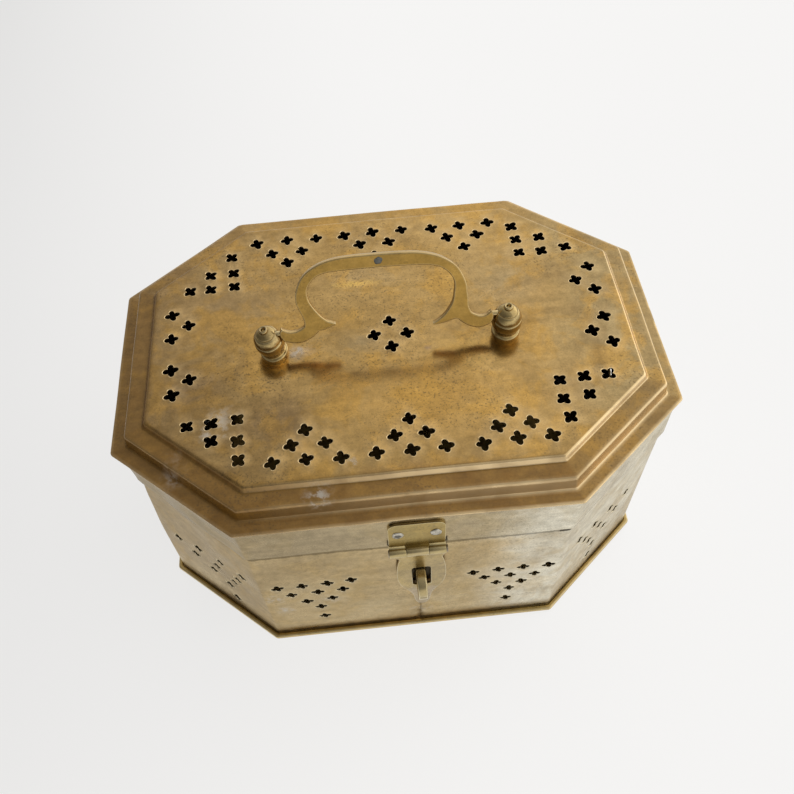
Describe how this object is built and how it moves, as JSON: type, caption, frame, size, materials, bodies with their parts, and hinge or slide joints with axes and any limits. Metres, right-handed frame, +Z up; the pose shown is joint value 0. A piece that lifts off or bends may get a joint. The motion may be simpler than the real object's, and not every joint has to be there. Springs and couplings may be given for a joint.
{
  "type": "pierced octagonal box",
  "caption": "Octagonal pierced sheet-brass box with a stepped hinged lid, a swinging bail handle between two finials, and a front hasp over a staple.",
  "frame": {"origin": "centre of the flat underside of the base", "axes": "+X along the box's length, -Y towards the hasp, +Z up"},
  "size_m": [0.19, 0.148, 0.1328],
  "materials": {
    "lid_brass": "aged, brown-gold patina, satin",
    "wall_brass": "aged, pale and semi-gloss",
    "base_brass": "aged, warm gold edge",
    "cast_brass": "cast and turned, handled, satin",
    "hardware_brass": "cut and bent strip, satin",
    "pin_steel": "dull wire",
    "rivet_metal": "hammered, dull",
    "solder": "grey solder, dull"
  },
  "bodies": {
    "box": {"base_plate": "base_brass", "base_solder": "solder", "body_wall": "wall_brass", "staple": "hardware_brass", "hinge_body_rivets": "rivet_metal", "hinge_left_body_leaf": "hardware_brass", "hinge_left_pin": "pin_steel", "hinge_right_body_leaf": "hardware_brass", "hinge_right_pin": "pin_steel"},
    "lid": {"lid_top": "lid_brass", "lid_skirt": "wall_brass", "lid_solder": "solder", "post_left": "cast_brass", "post_right": "cast_brass", "post_washers": "hardware_brass", "post_nuts": "hardware_brass", "hasp_leaf": "hardware_brass", "hasp_pin": "pin_steel", "hasp_rivets": "rivet_metal", "hinge_lid_rivets": "rivet_metal", "hinge_left_lid_leaf": "hardware_brass", "hinge_right_lid_leaf": "hardware_brass"},
    "handle": {"handle": "cast_brass", "handle_plug": "solder"},
    "hasp": {"hasp_plate": "hardware_brass"}
  },
  "joints": [
    {"name": "lid_hinge", "type": "hinge", "parent": "box", "child": "lid", "pos_m": [0, 0.0695, 0.0702], "axis": [-1, 0, 0], "range_deg": [0, 105]},
    {"name": "handle_swing", "type": "hinge", "parent": "lid", "child": "handle", "pos_m": [0, -0.0049, 0.1095], "axis": [1, 0, 0], "range_deg": [-84, 134]},
    {"name": "hasp_swing", "type": "hinge", "parent": "lid", "child": "hasp", "pos_m": [0.0022, -0.0695, 0.0702], "axis": [-1, 0, 0], "range_deg": [0, 175]}
  ]
}
